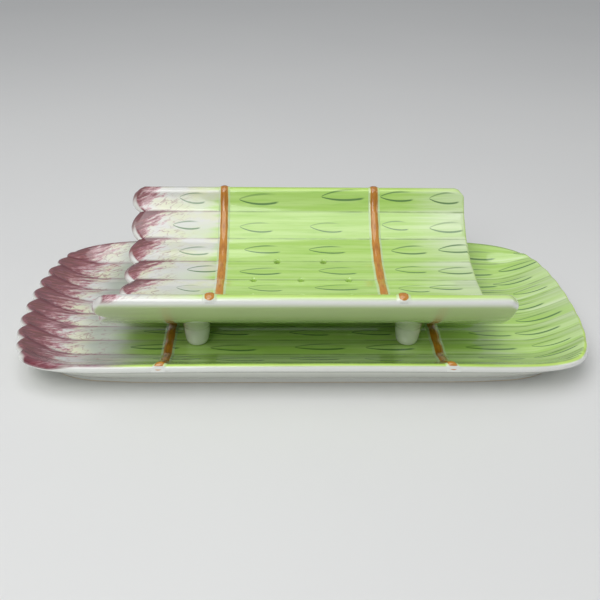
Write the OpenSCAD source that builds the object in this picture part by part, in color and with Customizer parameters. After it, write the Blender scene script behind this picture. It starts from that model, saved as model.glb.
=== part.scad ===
// Glazed earthenware asparagus platter with a footed drainer that stands loose in its well.
// X runs along the spears with their tips at -X, Y runs across them, and Z = 0 is the table.

/* [Platter] */
// Half length of the platter over its rim
platter_half_l = 197; // [190:1:240]
// Half width of the platter over its rim
platter_half_w = 93.5; // [90:0.5:120]
// Height of the rim along the long sides
platter_rim_h = 27; // [22:0.5:34]
// How much lower the rim is at the two ends
platter_end_dip = 4; // [0:0.5:6]
// Thickness of the rounded rim
platter_wall = 6; // [4:0.5:8]
// Thickness of the floor in the valleys between spears
platter_floor_t = 5.5; // [4:0.5:8]
// Plan width of the sloping inner wall
well_slope_w = 38; // [30:1:50]
// Number of spears across the platter
platter_spears = 10; // [8:2:12]
// Rise of a spear's crown above the valleys beside it
platter_crown = 0.8; // [0.6:0.1:2]
// Depth of the notch between two spear tips
platter_notch = 5.5; // [3:0.5:8]

/* [Foot ring] */
// Height of the foot ring
ring_h = 3.5; // [2:0.5:6]
// Width of the foot ring's bearing face
ring_t = 6; // [4:0.5:10]
// Plan distance from the rim to the foot ring
ring_inset = 19; // [14:0.5:26]

/* [Cradle] */
// Length of the cradle along the spears
cradle_l = 262; // [220:1:290]
// Radius of the middle of the trough
trough_base_r = 182; // [140:1:260]
// Half length of the middle arc, measured round the trough
trough_base_arc = 33; // [20:1:45]
// Radius of the sides of the trough
trough_side_r = 78; // [75:1:110]
// Half length of the whole inner surface, measured round the trough
trough_arc = 99; // [85:0.2:106]
// Wall thickness of the cradle
cradle_wall = 6; // [4:0.5:8]
// Thickness of the cradle's rims, over which its outermost spears roll
cradle_rim_t = 8.5; // [7:0.5:10]
// Number of spears across the cradle
cradle_spears = 9; // [7:2:11]
// Rise of a spear's crown above the valleys beside it
cradle_crown = 0.8; // [0.6:0.1:2]
// Depth of the notch between two spear tips
cradle_notch = 6; // [3:0.5:8]
// Offset of the cradle from the platter's middle along the spears, negative towards the tips
cradle_shift_x = -0.7; // [-4:0.1:4]

/* [Drain holes] */
// Diameter of a drain hole
drain_d = 4; // [2.5:0.1:5]
// Distance between drain holes along a valley
drain_pitch = 35; // [20:1:45]

/* [Feet of the cradle] */
// Height of the trough's underside above the soles, at its lowest line
foot_stand = 14.5; // [10:0.5:24]
// Radius of a foot at its sole
foot_sole_r = 7.5; // [5:0.5:8]
// Radius of a foot at its neck
foot_neck_r = 8.8; // [8.5:0.1:12]
// Radius of the clay collar that joins a foot to the trough
foot_collar_r = 15; // [13:0.5:18]
// Distance from the middle to a foot along the spears
foot_x = 72.5; // [66:0.5:76]
// Distance from the middle to a foot across the spears
foot_y = 38.3; // [32:0.1:42]

/* [Ties] */
// Distance from the middle to a tie on the cradle
cradle_tie_x = 58.8; // [40:0.1:90]
// Distance from the middle to a tie on the platter
platter_tie_x = 92.6; // [91:0.1:110]
// Width of a tie's cord
tie_cord_w = 5; // [3:0.5:7]
// Width of the border on each side of the cord
tie_border_w = 2; // [1:0.5:3]
// Height of the cord above the surface
tie_cord_h = 1.6; // [1:0.1:2.5]
// Height of the border above the surface
tie_border_h = 0.6; // [0.4:0.1:0.9]

/* [Fit] */
// Clearance under a sole that stands on the spears' crowns
sole_gap = 0.3; // [0.2:0.1:0.5]

/* [Hidden] */
$fn = 48;

// Shares that shape the platter's plan: how far its ends and its sides draw in at a corner
end_draw_share = 0.08;
side_draw_share = 0.163;
// Powers of those draws along and across the platter
end_power = 2.3;
mix_power = 3;
// The power at which the end curve runs into the side curve without a corner
side_power = (1 - end_draw_share * (1 + mix_power)) * (1 - side_draw_share * (1 + mix_power))
    / (end_draw_share * side_draw_share * end_power);
// How late the notches between the tips grow shallower on the way to the corners
notch_fade_power = 3;
// How steeply the inner and the outer wall curl up to the rim
inner_curl = 1.7;
outer_curl = 1.3;

lip_r = platter_wall / 2;
floor_z = ring_h + platter_floor_t;
crown_z = floor_z + platter_crown;
// Half length and half width of the line where the inner surface meets the rounded rim
well_half_l = platter_half_l - lip_r;
well_half_w = platter_half_w - lip_r;

// How much of a cradle spear that rolls over a rim lies inside the trough, as a share of its width
rim_spear_share = 0.66;
// Height of a foot's neck as a share of its stand, and rounding of its sole as a share of the sole
neck_share = 0.65;
sole_edge_share = 0.2;

// Steps across a spear of the platter and of the cradle, and across a tip of the cradle
spear_steps = 4;
trough_steps = 6;
tip_steps = 10;
// Steps round a rim, down the platter's outer wall and up its end walls
lip_steps = 4;
wall_steps = 3;
end_steps = 8;

tie_half_w = tie_cord_w / 2 + tie_border_w;
cord_half_w = tie_cord_w / 2;
// Distances from a tie's middle to its four long edges, and the height of each edge
tie_edges = [-tie_half_w, -cord_half_w, cord_half_w, tie_half_w];
tie_heights = [tie_border_h, tie_cord_h, tie_cord_h, tie_border_h];

function reversed(list) = [for (i = [len(list) - 1 : -1 : 0]) list[i]];
function crown(t) = 1 - pow(2 * t, 2);
// Number of the spear at w, where w runs from -1 to 1 across all the spears
function spear_at(w, spears) = floor(min((w + 1) / 2 * spears, spears - 1 / spears));
// Position across that spear, from -0.5 to 0.5
function across(w, spears) = (w + 1) / 2 * spears - spear_at(w, spears) - 1 / 2;

// Platter: u runs from -1 to 1 along the spears and w from -1 to 1 across them.
end_lines = [for (i = [0 : end_steps]) 1 - i / end_steps * well_slope_w / well_half_l];
tie_inner_u = (platter_tie_x - tie_half_w) / well_half_l;
tie_outer_u = (platter_tie_x + tie_half_w) / well_half_l;
wall_inner_u = end_lines[end_steps];
middle_lines = [0, tie_inner_u / 2];
half_lines = [
    each middle_lines,
    for (e = tie_edges) (platter_tie_x + e) / well_half_l,
    tie_outer_u + (wall_inner_u - tie_outer_u) / 2,
    each reversed(end_lines)
];
us = concat([for (i = [len(half_lines) - 1 : -1 : 1]) -half_lines[i]], half_lines);
w_steps = platter_spears * spear_steps;
ws = [for (j = [0 : w_steps]) 2 * j / w_steps - 1];
nu = len(us);
nw = len(ws);
tie_first_left = len(half_lines) - len(middle_lines) - len(tie_edges);
tie_first_right = len(half_lines) - 1 + len(middle_lines);

// Share of the tip notch that reaches a line u: all of it at the left rim, none past the end wall
function notch_reach(u) = pow(max(0, (-u - wall_inner_u) / (1 - wall_inner_u)), 2);
// Share of the tip notch at a line w: none on a crown, most in a valley, and less towards the corners,
// where the end already draws in
function notch_share(w) =
    (1 - crown(across(w, platter_spears))) * (1 - pow(abs(w), notch_fade_power));
// Plan of the platter at half sizes a and b
function plan(u, w, a, b, notch) = [
    a * u * (1 - end_draw_share * pow(abs(w), end_power) * pow(abs(u), mix_power))
        + notch * notch_share(w),
    b * w * (1 - side_draw_share * pow(abs(u), side_power) * pow(abs(w), mix_power))
];
// Closeness to the rim: 0 on the floor and 1 at the rim
function near(share, half, width) = max(0, 1 - (1 - abs(share)) * half / width);
function slope(u, w) =
    1 - (1 - pow(near(u, well_half_l, well_slope_w), inner_curl))
        * (1 - pow(near(w, well_half_w, well_slope_w), inner_curl));
function rim_z(u) = platter_rim_h - platter_end_dip * pow(abs(u), mix_power);
function top_point(u, w) =
    let (xy = plan(u, w, well_half_l, well_half_w, platter_notch * notch_reach(u)))
    [xy.x, xy.y, floor_z + (rim_z(u) - platter_crown - floor_z) * slope(u, w)
        + platter_crown * crown(across(w, platter_spears))];
// Rounded rim at an angle from its inner edge, over the top, to its lower edge
function lip_point(u, w, angle) =
    let (
        out = lip_r * sin(angle),
        xy = plan(u, w, well_half_l + out, well_half_w + out, platter_notch * notch_reach(u))
    )
    [xy.x, xy.y, top_point(u, w).z - lip_r * (1 - cos(angle))
        - platter_crown * crown(across(w, platter_spears)) * angle / 180];
// Outer wall, from 0 at the rounded rim to 1 at the foot ring
function wall_point(u, w, down) =
    let (
        inset = (ring_inset - lip_r) * down,
        notch = platter_notch * notch_reach(u) * pow(1 - down, 2),
        xy = plan(u, w, well_half_l - inset, well_half_w - inset, notch),
        high = lip_point(u, w, 180).z
    )
    [xy.x, xy.y, ring_h + (high - ring_h) * pow(1 - down, outer_curl)];

// Grid places round the rim, in order, as [line along, line across]
rim_walk = concat(
    [for (i = [0 : nu - 2]) [i, 0]],
    [for (j = [0 : nw - 2]) [nu - 1, j]],
    [for (i = [nu - 1 : -1 : 1]) [i, nw - 1]],
    [for (j = [nw - 1 : -1 : 1]) [0, j]]
);
n_rim = len(rim_walk);
function rim_uw(k) = [us[rim_walk[k].x], ws[rim_walk[k].y]];
ring_outline = [
    for (k = [0 : n_rim - 1])
        let (q = rim_uw(k)) wall_point(q.x, q.y, 1)
];

// Two triangles for the square between four point numbers, given in order round it
function square_faces(a, b, c, d) = [[a, b, c], [a, c, d]];

module platter() {
    grid = [for (u = us) for (w = ws) top_point(u, w)];
    lip = [
        for (s = [1 : lip_steps]) for (k = [0 : n_rim - 1])
            let (q = rim_uw(k)) lip_point(q.x, q.y, 180 * s / lip_steps)
    ];
    wall = [
        for (s = [1 : wall_steps]) for (k = [0 : n_rim - 1])
            let (q = rim_uw(k)) wall_point(q.x, q.y, s / wall_steps)
    ];
    rings = lip_steps + wall_steps;
    n_grid = len(grid);
    function ring_index(s, k) =
        let (i = k % n_rim)
        s == 0 ? rim_walk[i].x * nw + rim_walk[i].y : n_grid + (s - 1) * n_rim + i;
    top_faces = [
        for (i = [0 : nu - 2]) for (j = [0 : nw - 2])
            each square_faces(i * nw + j, i * nw + j + 1, (i + 1) * nw + j + 1, (i + 1) * nw + j)
    ];
    ring_faces = [
        for (s = [0 : rings - 1]) for (k = [0 : n_rim - 1])
            each square_faces(
                ring_index(s, k), ring_index(s, k + 1), ring_index(s + 1, k + 1), ring_index(s + 1, k)
            )
    ];
    under = [for (k = [0 : n_rim - 1]) ring_index(rings, k)];
    color("yellowgreen")
    polyhedron(concat(grid, lip, wall), concat(top_faces, ring_faces, [under]), convexity = 6);
}

module platter_foot_ring() {
    outer = [for (p = ring_outline) [p.x, p.y]];
    inner_x_share = 1 - ring_t / (platter_half_l - ring_inset);
    inner_y_share = 1 - ring_t / (platter_half_w - ring_inset);
    color("ivory")
    linear_extrude(ring_h)
    difference() {
        polygon(outer);
        polygon([for (p = outer) [p.x * inner_x_share, p.y * inner_y_share]]);
    }
}

// A tie follows the platter's own grid lines from the outside of one rim to the outside of the other.
module platter_tie(first) {
    half_lip = lip_steps / 2;
    function under_point(i, k) =
        let (
            u = us[first + i],
            j = k - half_lip,
            over_front = -min(j, 0),
            over_back = max(j - (nw - 1), 0)
        )
        over_front > 0 ? lip_point(u, -1, 180 * over_front / lip_steps)
            : over_back > 0 ? lip_point(u, 1, 180 * over_back / lip_steps)
            : top_point(u, ws[j]);
    rows = nw + 2 * half_lip;
    lines = len(tie_edges);
    function outward(k) =
        let (
            before = under_point(1, max(k - 1, 0)),
            after = under_point(1, min(k + 1, rows - 1)),
            along = after - before
        )
        [0, -along.z, along.y] / norm([along.y, along.z]);
    low = [for (k = [0 : rows - 1]) for (i = [0 : lines - 1]) under_point(i, k)];
    high = [
        for (k = [0 : rows - 1]) for (i = [0 : lines - 1])
            low[k * lines + i] + tie_heights[i] * outward(k)
    ];
    n = rows * lines;
    low_faces = [
        for (k = [0 : rows - 2]) for (i = [0 : lines - 2])
            let (a = k * lines + i, b = a + lines, on_lip = k < half_lip || k >= half_lip + nw - 1)
            each on_lip ? square_faces(a + 1, b + 1, b, a) : square_faces(a, a + 1, b + 1, b)
    ];
    high_faces = [
        for (k = [0 : rows - 2]) for (i = [0 : lines - 2])
            let (a = n + k * lines + i, b = a + lines)
            each square_faces(a, b, b + 1, a + 1)
    ];
    side_faces = [
        for (k = [0 : rows - 2])
            let (a = k * lines, b = a + lines)
            each square_faces(a, b, n + b, n + a),
        for (k = [0 : rows - 2])
            let (a = k * lines + lines - 1, b = a + lines)
            each square_faces(b, a, n + a, n + b)
    ];
    end_faces = [
        for (i = [0 : lines - 2]) each square_faces(i + 1, i, n + i, n + i + 1),
        for (i = [0 : lines - 2])
            let (a = (rows - 1) * lines + i)
            each square_faces(a, a + 1, n + a + 1, n + a)
    ];
    color("chocolate")
    polyhedron(concat(low, high), concat(low_faces, high_faces, side_faces, end_faces), convexity = 6);
}

// Cradle: s runs round the trough's inner surface from its lowest line, and is negative in front.
cradle_half_l = cradle_l / 2;
cradle_spear_w = 2 * trough_arc / (cradle_spears - 2 + 2 * rim_spear_share);
last_valley_s = (cradle_spears / 2 - 1) * cradle_spear_w;
trough_z = crown_z + sole_gap + foot_stand + cradle_wall;
base_angle = trough_base_arc / trough_base_r * 180 / PI;
function lean(s) =
    let (m = abs(s))
    sign(s) * (m < trough_base_arc ? m / trough_base_r * 180 / PI
        : base_angle + (m - trough_base_arc) / trough_side_r * 180 / PI);
function trough_at(s) =
    let (
        m = abs(s),
        a = abs(lean(s)),
        knee = [trough_base_r * sin(base_angle), trough_base_r * (1 - cos(base_angle))],
        p = m < trough_base_arc
            ? [trough_base_r * sin(a), trough_base_r * (1 - cos(a))]
            : knee + trough_side_r * [sin(a) - sin(base_angle), cos(base_angle) - cos(a)]
    )
    [sign(s) * p.x, p.y];
function inward(s) = [-sin(lean(s)), cos(lean(s))];
function along(s) = [cos(lean(s)), sin(lean(s))];

// Place of s across all the spears, counting those at the rims as whole
function trough_w(s) = 2 * s / cradle_spear_w / cradle_spears;
function trough_crown(s) = cradle_crown * crown(across(trough_w(s), cradle_spears));
// A spear at a rim swells from its valley until the rim has its full thickness.
rim_swell = cradle_rim_t - cradle_wall - trough_crown(trough_arc);
function swell(s) =
    rim_swell * pow(max(0, (abs(s) - last_valley_s) / (trough_arc - last_valley_s)), 2);

spear_edges = [
    -trough_arc,
    for (k = [1 : cradle_spears - 1]) (k - cradle_spears / 2) * cradle_spear_w,
    trough_arc
];
// Lines along the trough, the same number across each spear
function trough_lines(steps) = [
    for (k = [0 : cradle_spears - 1]) for (i = [0 : steps - 1])
        spear_edges[k] + (spear_edges[k + 1] - spear_edges[k]) * i / steps,
    trough_arc
];
section_s = trough_lines(trough_steps);
section_steps = cradle_spears * trough_steps;
function crowned(s, extra = 0) = trough_at(s) + (trough_crown(s) + swell(s) + extra) * inward(s);
// Rounded rim at one side, at an angle from its inner edge
rim_angles = [for (i = [1 : lip_steps - 1]) 180 * i / lip_steps];
function rim_at(side, angle, extra = 0) =
    let (s = side * trough_arc, rim_r = cradle_rim_t / 2)
    trough_at(s) + (rim_r - cradle_wall) * inward(s)
        + (rim_r + extra) * (cos(angle) * inward(s) + side * sin(angle) * along(s));

inner_path = [for (s = section_s) crowned(s)];
outer_path = [for (s = section_s) trough_at(s) - cradle_wall * inward(s)];
trough_section = concat(
    inner_path,
    [for (a = rim_angles) rim_at(1, a)],
    reversed(outer_path),
    reversed([for (a = rim_angles) rim_at(-1, a)])
);
// The tie runs over each rim and ends on the rim's outer face.
function tie_path(extra) = concat(
    reversed([for (a = rim_angles) rim_at(-1, a, extra)]),
    [for (s = section_s) crowned(s, extra)],
    [for (a = rim_angles) rim_at(1, a, extra)]
);

// Stands a drawing of the trough's section upright and runs it from x0 to x1.
module along_spears(x0, x1) {
    translate([x0, 0, 0]) rotate([90, 0, 90]) linear_extrude(x1 - x0) children();
}

module at_cradle() {
    translate([cradle_shift_x, 0, trough_z]) children();
}

// Places a child on the trough's surface with its own Z pointing out of the surface.
module on_trough(x, s) {
    p = trough_at(s);
    translate([x, p.x, p.y]) rotate([lean(s), 0, 0]) children();
}

// How far the spears' end lies behind the line of their tips at s. A spear at a rim has its tip in
// the middle of what lies inside the trough, and rounds off over the rim's thickness.
function tip_drop(s) =
    let (
        w = trough_w(s),
        spear = spear_at(w, cradle_spears),
        rim_side = spear == 0 ? -1 : spear == cradle_spears - 1 ? 1 : 0,
        t = across(w, cradle_spears),
        tip = rim_side * (rim_spear_share - 1) / 2,
        side = t < tip ? -1 : 1,
        rolled = rim_spear_share - 1 / 2 + cradle_rim_t / 2 / cradle_spear_w,
        edge = side * (side == rim_side ? rolled : 1 / 2)
    )
    cradle_notch * pow((t - tip) / (edge - tip), 2);

// Shapes all the tips at once, by cutting away straight down what lies beyond their outline.
module tips_cutter() {
    outline = [
        for (s = trough_lines(tip_steps)) [tip_drop(s) - cradle_half_l, trough_at(s).x]
    ];
    beside = trough_at(trough_arc).x + cradle_rim_t;
    beyond = -cradle_half_l - cradle_notch;
    corner = -cradle_half_l + cradle_notch;
    translate([0, 0, -2 * cradle_wall])
    linear_extrude(trough_side_r)
    polygon(concat(
        [[beyond, -beside], [corner, -beside]], outline, [[corner, beside], [beyond, beside]]
    ));
}

// A hole is turned a quarter, so that its circle starts beside the valley's line and not on it.
module drain_hole(x, s) {
    on_trough(x, s)
    translate([0, 0, -2 * cradle_wall])
    rotate(90)
    cylinder(d = drain_d, h = 3 * cradle_wall);
}

module cradle() {
    color("greenyellow")
    at_cradle()
    difference() {
        along_spears(-cradle_half_l - cradle_notch / 2, cradle_half_l) polygon(trough_section);
        tips_cutter();
        for (side = [-1, 1]) {
            for (k = [-1 : 1]) drain_hole(k * drain_pitch, side * cradle_spear_w / 2);
            for (k = [-1, 1]) drain_hole(k * drain_pitch / 2, side * cradle_spear_w * 3 / 2);
        }
    }
}

module cradle_tie(side) {
    middle = side * cradle_tie_x;
    color("chocolate")
    at_cradle() {
        along_spears(middle - tie_half_w, middle + tie_half_w)
            polygon(concat(tie_path(0), reversed(tie_path(tie_border_h))));
        along_spears(middle - cord_half_w, middle + cord_half_w)
            polygon(concat(tie_path(0), reversed(tie_path(tie_cord_h))));
    }
}

// Outline of a foot from its sole up: a rounded edge, a straight taper and a hollow flare
sole_edge_r = foot_sole_r * sole_edge_share;
neck_h = foot_stand * neck_share;
// The flare rises by as much as its collar's radius, so that a wider collar still ends inside the trough.
flare_h = foot_collar_r;
foot_top_h = neck_h + flare_h;
foot_outline = concat(
    [[0, 0]],
    [for (a = [0 : 30 : 90]) [foot_sole_r - sole_edge_r * (1 - sin(a)), sole_edge_r * (1 - cos(a))]],
    [for (a = [0 : 15 : 90])
        [foot_neck_r + (foot_collar_r - foot_neck_r) * (1 - cos(a)), neck_h + flare_h * sin(a)]],
    [[0, foot_top_h]]
);

module cradle_foot(side_x, side_y) {
    color("honeydew")
    at_cradle()
    difference() {
        translate([side_x * foot_x, side_y * foot_y, -cradle_wall - foot_stand])
            rotate_extrude() polygon(foot_outline);
        along_spears(-cradle_half_l, cradle_half_l)
            polygon(concat(outer_path, [
                outer_path[section_steps] + [0, foot_top_h], outer_path[0] + [0, foot_top_h]
            ]));
    }
}

module platter_tie_left() { platter_tie(tie_first_left); }
module platter_tie_right() { platter_tie(tie_first_right); }
module cradle_tie_left() { cradle_tie(-1); }
module cradle_tie_right() { cradle_tie(1); }
module cradle_foot_front_left() { cradle_foot(-1, -1); }
module cradle_foot_front_right() { cradle_foot(1, -1); }
module cradle_foot_back_left() { cradle_foot(-1, 1); }
module cradle_foot_back_right() { cradle_foot(1, 1); }

platter();
platter_foot_ring();
platter_tie_left();
platter_tie_right();
cradle();
cradle_tie_left();
cradle_tie_right();
cradle_foot_front_left();
cradle_foot_front_right();
cradle_foot_back_left();
cradle_foot_back_right();
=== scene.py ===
"""Glazed asparagus platter with a footed drainer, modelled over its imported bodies."""

import math

import bpy
import numpy as np
from bpy.props import FloatProperty, FloatVectorProperty, IntProperty, PointerProperty
from mathutils import Matrix, Vector
from mathutils.kdtree import KDTree


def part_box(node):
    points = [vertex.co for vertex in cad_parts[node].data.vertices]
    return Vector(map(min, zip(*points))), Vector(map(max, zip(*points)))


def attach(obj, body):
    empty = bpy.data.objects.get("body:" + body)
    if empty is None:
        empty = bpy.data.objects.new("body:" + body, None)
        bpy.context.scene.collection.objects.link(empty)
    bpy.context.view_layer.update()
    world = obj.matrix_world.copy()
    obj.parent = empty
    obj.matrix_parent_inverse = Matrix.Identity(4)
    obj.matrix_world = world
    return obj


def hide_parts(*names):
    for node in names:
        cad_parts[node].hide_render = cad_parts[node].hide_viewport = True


bl_info = {
    "name": "Asparagus Platter",
    "version": (1, 0, 0),
    "blender": (4, 5, 0),
    "location": "View3D > Sidebar > Asparagus Platter",
    "description": "Models a spear-moulded platter and its footed drainer in painted, glazed earthenware",
    "category": "Add Mesh",
}

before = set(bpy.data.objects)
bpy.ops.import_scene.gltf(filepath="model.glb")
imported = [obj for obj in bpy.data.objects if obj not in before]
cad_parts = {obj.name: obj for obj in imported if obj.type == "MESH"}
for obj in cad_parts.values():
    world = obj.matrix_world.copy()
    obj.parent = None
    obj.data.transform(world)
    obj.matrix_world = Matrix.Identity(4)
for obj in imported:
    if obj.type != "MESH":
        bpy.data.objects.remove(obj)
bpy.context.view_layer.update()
MM = 0.001
PLATTER_HIGH = Vector(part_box("platter")[1])
CRADLE_LOW = Vector(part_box("cradle")[0])
FOOT_LOW = Vector(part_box("cradle_foot_front_left")[0])


def tint(red, green, blue):
    """A colour given in the 0 to 255 numbers of a paint chart, as linear light."""
    return tuple(
        part / 12.92 if part <= 0.04045 else ((part + 0.055) / 1.055) ** 2.4
        for part in (red / 255, green / 255, blue / 255)
    )


def length(name, description, default, precision=4):
    """A size in metres."""
    return FloatProperty(
        name=name, description=description, default=default, min=0, unit="LENGTH", precision=precision
    )


def share(name, description, default):
    """A part of a whole, or a power."""
    return FloatProperty(name=name, description=description, default=default, min=0)


def count(name, description, default):
    """A whole number of spears, cells or rings."""
    return IntProperty(name=name, description=description, default=default, min=2)


def colour(name, description, default):
    """A colour that the user picks."""
    return FloatVectorProperty(
        name=name, description=description, default=default, size=3, subtype="COLOR", min=0, max=1
    )


class PlatterSizes(bpy.types.PropertyGroup):
    """Sizes of the dished platter"""

    half_length: length("Half length", "Middle to the rim along the spears", PLATTER_HIGH.x)
    half_width: length("Half width", "Middle to the rim across the spears", PLATTER_HIGH.y)
    end_dip: length("End dip", "How much lower the rim is at the ends", 4 * MM)
    wall: length("Wall", "Thickness of the rounded rim", 6 * MM)
    floor_height: length("Floor height", "Table to the valleys of the floor", 9 * MM)
    slope_width: length("Slope width", "Plan width of the sloping inner wall", 38 * MM)
    crown: length("Crown", "Rise of a spear above its valleys", 0.8 * MM)
    notch: length("Notch", "Depth of the notch between two tips", 5.5 * MM)
    underside: length("Underside height", "Table to the platter's flat underside", 3.5 * MM)
    ring_inset: length("Ring inset", "Rim to the foot ring in plan", 19 * MM)
    tie_place: length("Tie place", "Middle to a tie along the spears", 92.6 * MM)
    spears: count("Spears", "Spears side by side", 10)
    end_draw: share("End draw", "How far an end draws in at a corner", 0.08)
    side_draw: share("Side draw", "How far a side draws in at a corner", 0.163)
    end_power: share("End power", "How late the end draws in across the platter", 2.3)
    mix_power: share("Mix power", "How late both draws set in", 3)
    inner_curl: share("Inner curl", "How steeply the inner wall curls up", 1.7)
    outer_curl: share("Outer curl", "How steeply the outer wall curls up", 1.3)
    lines_along: count("Lines along", "Mesh cells along the spears", 156)
    lines_a_spear: count("Lines a spear", "Mesh cells across a spear", 12)
    lip_rings: count("Lip rings", "Mesh rings round the rim", 10)
    wall_rings: count("Wall rings", "Mesh rings down the wall", 8)


class CradleSizes(bpy.types.PropertyGroup):
    """Sizes of the footed trough"""

    half_length: length("Half length", "Middle to an end", 131 * MM)
    shift: FloatProperty(
        name="Shift", description="Offset from the platter's middle", default=-0.7 * MM, unit="LENGTH"
    )
    base_radius: length("Base radius", "Radius of the trough's middle", 182 * MM)
    base_arc: length("Base arc", "Half length of the middle arc", 33 * MM)
    side_radius: length("Side radius", "Radius of the trough's sides", 78 * MM)
    arc: length("Arc", "Half length round the inner surface", 99 * MM)
    wall: length("Wall", "Thickness of the trough", 6 * MM)
    rim: length("Rim", "Thickness of the rims that the outermost spears roll over", 8.5 * MM)
    crown: length("Crown", "Rise of a spear above its valleys", 0.8 * MM)
    notch: length("Notch", "Depth of the notch between two tips", 6 * MM)
    tip_fade: length("Tip fade", "How far a notch runs back into the spears", 18 * MM)
    tip_round: length("Tip rounding", "Radius of the rounded tips", 2.8 * MM)
    tip_droop: length("Tip droop", "How far a tip bends down at its end", 1.2 * MM)
    end_round: length("End rounding", "Radius of the cut ends' edge", 2.2 * MM)
    corner_round: length("Corner rounding", "Radius of the cut ends' corners in plan", 4 * MM)
    drain: length("Drain hole", "Diameter of a drain hole", 4 * MM)
    drain_pitch: length("Drain pitch", "Distance between holes in a valley", 35 * MM)
    foot_x: length("Foot along", "Middle to a foot along the spears", 72.5 * MM)
    foot_y: length("Foot across", "Middle to a foot across the spears", 38.3 * MM)
    foot_sole: length("Foot sole", "Radius of a foot's sole", 7.5 * MM)
    foot_neck: length("Foot neck", "Radius of a foot's neck", 8.8 * MM)
    foot_collar: length("Foot collar", "Radius of the collar that joins a foot", 15 * MM)
    tie_place: length("Tie place", "Middle to a tie along the spears", 58.8 * MM)
    spears: count("Spears", "Spears side by side", 9)
    rim_spear: share("Rim spear", "How much of a rim's spear lies inside the trough", 0.66)
    lines_along: count("Lines along", "Mesh cells along the spears", 130)
    lines_a_spear: count("Lines a spear", "Mesh cells across a spear", 14)
    edge_rings: count("Edge rings", "Mesh rings round the edges", 10)


class TieSizes(bpy.types.PropertyGroup):
    """Sizes of the raised ties"""

    cord: length("Cord", "Width of the painted cord", 5 * MM)
    border: length("Border", "Width of the border beside the cord", 2 * MM)
    cord_rise: length("Cord rise", "Height of the cord above the spears", 1.6 * MM)
    border_rise: length("Border rise", "Height of the border above the spears", 0.6 * MM)


class PaintColours(bpy.types.PropertyGroup):
    """Colours of the hand painting under the clear glaze, and of the light and shade painted with it"""

    plum_dark: colour("Dark plum", "Deepest strokes on the tips", tint(98, 22, 40))
    plum: colour("Plum", "Body of the tips", tint(146, 60, 74))
    pink: colour("Pink", "Thinned plum at its edge", tint(200, 150, 158))
    vein: colour("Veins", "Fine plum lines behind the tips", tint(150, 96, 112))
    cream: colour("Cream", "Shoulders of the spears", tint(226, 228, 196))
    shoulder_white: colour("Shoulder white", "Palest shoulders", tint(226, 226, 222))
    # Grey wash between plum and green; on the platter it is darkened as painted shade where the cradle's
    # shadow falls
    shade: colour("Grey wash", "Thin grey between plum and green", tint(176, 184, 170))
    green: colour("Green", "Full strokes on the spears", tint(178, 219, 106))
    green_deep: colour("Deep green", "Doubled strokes on the spears", tint(156, 206, 84))
    green_pale: colour("Pale green", "Thin strokes on the spears", tint(198, 232, 138))
    pale_end: colour("Pale ends", "Thinned paint towards the cut ends", tint(240, 246, 226))
    # Painted highlight: pale strokes on the front side of each spear, standing in for the glaze's reflections
    painted_highlight: colour("Lit edges", "Pale side of a spear towards its cut end", tint(240, 250, 220))
    # Rims: green glaze pooled at a rim's inner edge, brightened as a painted highlight
    rim_pool_and_highlight: colour("Rim green", "Bright green on the rims", tint(206, 242, 104))
    # Painted reflection and shade: white glaze below a rim, darkened and tinted with the platter's green that
    # it would reflect
    underside: colour("Underside", "Green glaze pooled under the cradle", tint(188, 206, 150))
    mark: colour("Marks", "Fine brush marks", tint(70, 118, 66))
    valley: colour("Valleys", "Lines between spears", tint(122, 150, 92))
    valley_tip: colour("Tip valleys", "Lines between spears near the tips", tint(150, 112, 130))
    white: colour("White", "Bare glaze on rims and undersides", tint(236, 238, 232))
    pooled_white: colour("Pooled white", "White glaze where it pools", tint(222, 226, 208))
    tie: colour("Ties", "Brown of the ties", tint(206, 138, 44))
    tie_dark: colour("Dark ties", "Doubled brown of the ties", tint(168, 100, 22))
    clay: colour("Clay", "Ground, unglazed clay", tint(222, 208, 184))
    clay_dark: colour("Dark clay", "Grain of the ground clay", tint(196, 178, 150))
    floor: colour("Floor", "Studio floor", tint(232, 232, 230))
    floor_shade: colour("Floor shade", "Clouds in the studio floor's paper", tint(226, 226, 225))


# Modelling

# Angles between faces, in degrees, up to which a piece is shaded smooth
SMOOTH_UNDER = 60
CRADLE_SMOOTH_UNDER = 50
# Share of a spear's crown that follows a cosine, which leaves soft valleys; the rest is a parabola
CROWN_SOFTNESS = 0.75
# How much closer together the platter's lines lie at its ends than in its middle
END_CROWDING = 0.25
DRAIN_SIDES = 24
# Rings of a drain hole from its wall up: radius as a share of the hole's, and height above the valley
DRAIN_LIP = ((1, -1.1 * MM), (1.08, -0.6 * MM), (1.25, -0.2 * MM), (1.55, 0.15 * MM), (1.8, 2 * MM))
# Rows of cells across a tie, in its wrap round each rim, and in the end of that wrap where it thins out
TIE_ROWS = 16
TIE_WRAP = 12
TIE_THIN_ROWS = 3
# How far round its rim a tie runs, as a share of a half turn
PLATTER_WRAP = 0.5
CRADLE_WRAP = 0.75
# How much flatter a cradle's tie is pressed on the rims, and the share of its wrap in which that sets in
RIM_PRESS = 0.2
PRESS_WITHIN = 0.25
# Where in its wrap a tie's painted cord starts to end, and how long the end is, as shares of the wrap
PLATTER_CORD_END = (0.4, 0.3)
CRADLE_CORD_END = (0.63, 0.18)
# How fast a tie's border rises from its edge
BORDER_RISE_RATE = 1.6
# Step in its wrap over which a platter tie's slope is measured
WRAP_STEP = 0.02
# How deep a tie or a foot is set into the surface that carries it
EMBED = 1.0 * MM
FOOT_SIDES = 64
FOOT_RINGS = 36
FOOT_HEEL = 2.2 * MM
# Heights on a foot, as shares of the room under the trough: its top, its full neck and its flare's start
FOOT_TOP = 1.75
FOOT_NECK_AT = 0.65
FOOT_FLARE_FROM = 0.9
# The faint fold round a foot under the trough, its width as a share of the same room
FOLD_RISE = 0.3 * MM
FOLD_WIDTH = 0.05


def clear_selection():
    """Leaves nothing selected, so that an operator acts on the next piece alone."""
    bpy.ops.object.select_all(action="DESELECT")


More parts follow.
